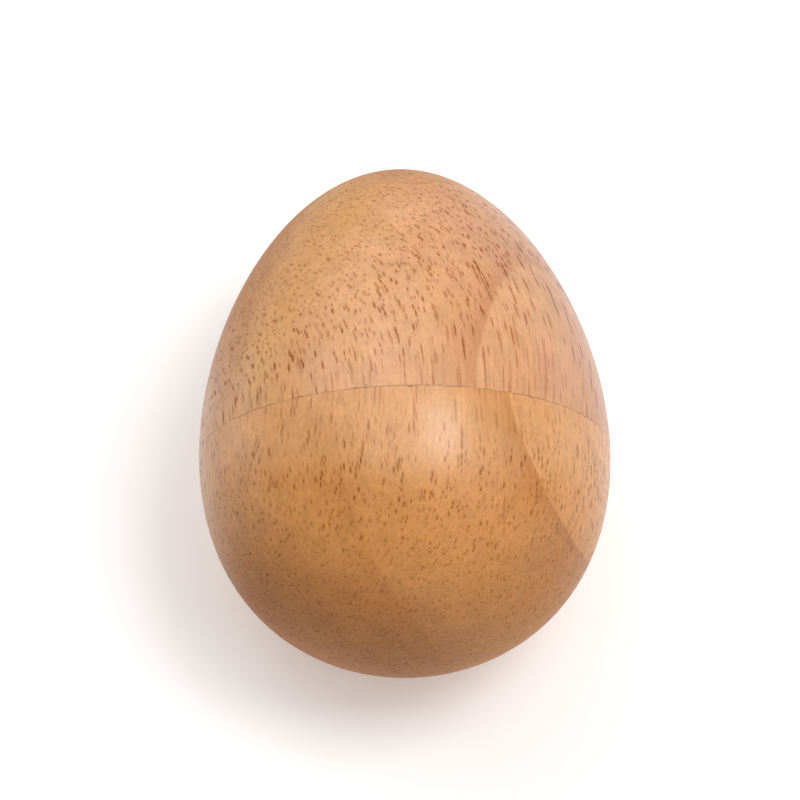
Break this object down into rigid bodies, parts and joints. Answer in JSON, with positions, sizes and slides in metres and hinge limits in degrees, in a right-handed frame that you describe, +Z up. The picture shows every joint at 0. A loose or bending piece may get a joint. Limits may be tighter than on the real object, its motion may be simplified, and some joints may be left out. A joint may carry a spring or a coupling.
{
  "type": "egg shaker",
  "caption": "Smooth wooden egg in two hollow turned halves, glued on a rabbet joint round the belly, with loose steel shot sealed inside that rattles when shaken.",
  "frame": {"origin": "on the table, below the middle of the egg's length, with the egg lying on its side", "axes": "+Y along the egg's axis towards its small end, +Z up, +X to the right seen from the blunt end"},
  "size_m": [0.0472, 0.06, 0.0472],
  "materials": {
    "blunt_end_wood": "sanded rubberwood under a thin satin lacquer",
    "small_end_wood": "sanded rubberwood under a thin satin lacquer",
    "wood_glue": "dried wood glue, slightly translucent",
    "steel_shot": "tumbled steel shot, dull and scuffed"
  },
  "bodies": {
    "egg": {"blunt_end_shell": "blunt_end_wood", "small_end_shell": "small_end_wood", "glue_line": "wood_glue"},
    "shot_01": {"shot_01": "steel_shot"},
    "shot_02": {"shot_02": "steel_shot"},
    "shot_03": {"shot_03": "steel_shot"},
    "shot_04": {"shot_04": "steel_shot"},
    "shot_05": {"shot_05": "steel_shot"},
    "shot_06": {"shot_06": "steel_shot"},
    "shot_07": {"shot_07": "steel_shot"},
    "shot_08": {"shot_08": "steel_shot"},
    "shot_09": {"shot_09": "steel_shot"},
    "shot_10": {"shot_10": "steel_shot"},
    "shot_11": {"shot_11": "steel_shot"},
    "shot_12": {"shot_12": "steel_shot"},
    "shot_13": {"shot_13": "steel_shot"},
    "shot_14": {"shot_14": "steel_shot"},
    "shot_15": {"shot_15": "steel_shot"},
    "shot_16": {"shot_16": "steel_shot"},
    "shot_17": {"shot_17": "steel_shot"},
    "shot_18": {"shot_18": "steel_shot"},
    "shot_19": {"shot_19": "steel_shot"},
    "shot_20": {"shot_20": "steel_shot"},
    "shot_21": {"shot_21": "steel_shot"},
    "shot_22": {"shot_22": "steel_shot"},
    "shot_23": {"shot_23": "steel_shot"},
    "shot_24": {"shot_24": "steel_shot"},
    "shot_25": {"shot_25": "steel_shot"},
    "shot_26": {"shot_26": "steel_shot"},
    "shot_27": {"shot_27": "steel_shot"},
    "shot_28": {"shot_28": "steel_shot"},
    "shot_29": {"shot_29": "steel_shot"},
    "shot_30": {"shot_30": "steel_shot"},
    "shot_31": {"shot_31": "steel_shot"},
    "shot_32": {"shot_32": "steel_shot"},
    "shot_33": {"shot_33": "steel_shot"},
    "shot_34": {"shot_34": "steel_shot"},
    "shot_35": {"shot_35": "steel_shot"},
    "shot_36": {"shot_36": "steel_shot"},
    "shot_37": {"shot_37": "steel_shot"},
    "shot_38": {"shot_38": "steel_shot"},
    "shot_39": {"shot_39": "steel_shot"},
    "shot_40": {"shot_40": "steel_shot"},
    "shot_41": {"shot_41": "steel_shot"},
    "shot_42": {"shot_42": "steel_shot"}
  },
  "joints": [
    {"name": "shot_01_rattle", "type": "slide", "parent": "egg", "child": "shot_01", "axis": [0, 0, 1], "range_m": [0, 0.02412]},
    {"name": "shot_02_rattle", "type": "slide", "parent": "egg", "child": "shot_02", "axis": [0, 0, 1], "range_m": [0, 0.02515]},
    {"name": "shot_03_rattle", "type": "slide", "parent": "egg", "child": "shot_03", "axis": [0, 0, 1], "range_m": [0, 0.02515]},
    {"name": "shot_04_rattle", "type": "slide", "parent": "egg", "child": "shot_04", "axis": [0, 0, 1], "range_m": [0, 0.02455]},
    {"name": "shot_05_rattle", "type": "slide", "parent": "egg", "child": "shot_05", "axis": [0, 0, 1], "range_m": [0, 0.02719]},
    {"name": "shot_06_rattle", "type": "slide", "parent": "egg", "child": "shot_06", "axis": [0, 0, 1], "range_m": [0, 0.02916]},
    {"name": "shot_07_rattle", "type": "slide", "parent": "egg", "child": "shot_07", "axis": [0, 0, 1], "range_m": [0, 0.02933]},
    {"name": "shot_08_rattle", "type": "slide", "parent": "egg", "child": "shot_08", "axis": [0, 0, 1], "range_m": [0, 0.02924]},
    {"name": "shot_09_rattle", "type": "slide", "parent": "egg", "child": "shot_09", "axis": [0, 0, 1], "range_m": [0, 0.0281]},
    {"name": "shot_10_rattle", "type": "slide", "parent": "egg", "child": "shot_10", "axis": [0, 0, 1], "range_m": [0, 0.02556]},
    {"name": "shot_11_rattle", "type": "slide", "parent": "egg", "child": "shot_11", "axis": [0, 0, 1], "range_m": [0, 0.02785]},
    {"name": "shot_12_rattle", "type": "slide", "parent": "egg", "child": "shot_12", "axis": [0, 0, 1], "range_m": [0, 0.03077]},
    {"name": "shot_13_rattle", "type": "slide", "parent": "egg", "child": "shot_13", "axis": [0, 0, 1], "range_m": [0, 0.03158]},
    {"name": "shot_14_rattle", "type": "slide", "parent": "egg", "child": "shot_14", "axis": [0, 0, 1], "range_m": [0, 0.03158]},
    {"name": "shot_15_rattle", "type": "slide", "parent": "egg", "child": "shot_15", "axis": [0, 0, 1], "range_m": [0, 0.03111]},
    {"name": "shot_16_rattle", "type": "slide", "parent": "egg", "child": "shot_16", "axis": [0, 0, 1], "range_m": [0, 0.02945]},
    {"name": "shot_17_rattle", "type": "slide", "parent": "egg", "child": "shot_17", "axis": [0, 0, 1], "range_m": [0, 0.02637]},
    {"name": "shot_18_rattle", "type": "slide", "parent": "egg", "child": "shot_18", "axis": [0, 0, 1], "range_m": [0, 0.02626]},
    {"name": "shot_19_rattle", "type": "slide", "parent": "egg", "child": "shot_19", "axis": [0, 0, 1], "range_m": [0, 0.03036]},
    {"name": "shot_20_rattle", "type": "slide", "parent": "egg", "child": "shot_20", "axis": [0, 0, 1], "range_m": [0, 0.03214]},
    {"name": "shot_21_rattle", "type": "slide", "parent": "egg", "child": "shot_21", "axis": [0, 0, 1], "range_m": [0, 0.03229]},
    {"name": "shot_22_rattle", "type": "slide", "parent": "egg", "child": "shot_22", "axis": [0, 0, 1], "range_m": [0, 0.03221]},
    {"name": "shot_23_rattle", "type": "slide", "parent": "egg", "child": "shot_23", "axis": [0, 0, 1], "range_m": [0, 0.03118]},
    {"name": "shot_24_rattle", "type": "slide", "parent": "egg", "child": "shot_24", "axis": [0, 0, 1], "range_m": [0, 0.02891]},
    {"name": "shot_25_rattle", "type": "slide", "parent": "egg", "child": "shot_25", "axis": [0, 0, 1], "range_m": [0, 0.02508]},
    {"name": "shot_26_rattle", "type": "slide", "parent": "egg", "child": "shot_26", "axis": [0, 0, 1], "range_m": [0, 0.02785]},
    {"name": "shot_27_rattle", "type": "slide", "parent": "egg", "child": "shot_27", "axis": [0, 0, 1], "range_m": [0, 0.03077]},
    {"name": "shot_28_rattle", "type": "slide", "parent": "egg", "child": "shot_28", "axis": [0, 0, 1], "range_m": [0, 0.03158]},
    {"name": "shot_29_rattle", "type": "slide", "parent": "egg", "child": "shot_29", "axis": [0, 0, 1], "range_m": [0, 0.03158]},
    {"name": "shot_30_rattle", "type": "slide", "parent": "egg", "child": "shot_30", "axis": [0, 0, 1], "range_m": [0, 0.03111]},
    {"name": "shot_31_rattle", "type": "slide", "parent": "egg", "child": "shot_31", "axis": [0, 0, 1], "range_m": [0, 0.02945]},
    {"name": "shot_32_rattle", "type": "slide", "parent": "egg", "child": "shot_32", "axis": [0, 0, 1], "range_m": [0, 0.02637]},
    {"name": "shot_33_rattle", "type": "slide", "parent": "egg", "child": "shot_33", "axis": [0, 0, 1], "range_m": [0, 0.02719]},
    {"name": "shot_34_rattle", "type": "slide", "parent": "egg", "child": "shot_34", "axis": [0, 0, 1], "range_m": [0, 0.02916]},
    {"name": "shot_35_rattle", "type": "slide", "parent": "egg", "child": "shot_35", "axis": [0, 0, 1], "range_m": [0, 0.02933]},
    {"name": "shot_36_rattle", "type": "slide", "parent": "egg", "child": "shot_36", "axis": [0, 0, 1], "range_m": [0, 0.02924]},
    {"name": "shot_37_rattle", "type": "slide", "parent": "egg", "child": "shot_37", "axis": [0, 0, 1], "range_m": [0, 0.0281]},
    {"name": "shot_38_rattle", "type": "slide", "parent": "egg", "child": "shot_38", "axis": [0, 0, 1], "range_m": [0, 0.02556]},
    {"name": "shot_39_rattle", "type": "slide", "parent": "egg", "child": "shot_39", "axis": [0, 0, 1], "range_m": [0, 0.02412]},
    {"name": "shot_40_rattle", "type": "slide", "parent": "egg", "child": "shot_40", "axis": [0, 0, 1], "range_m": [0, 0.02515]},
    {"name": "shot_41_rattle", "type": "slide", "parent": "egg", "child": "shot_41", "axis": [0, 0, 1], "range_m": [0, 0.02515]},
    {"name": "shot_42_rattle", "type": "slide", "parent": "egg", "child": "shot_42", "axis": [0, 0, 1], "range_m": [0, 0.02455]}
  ]
}
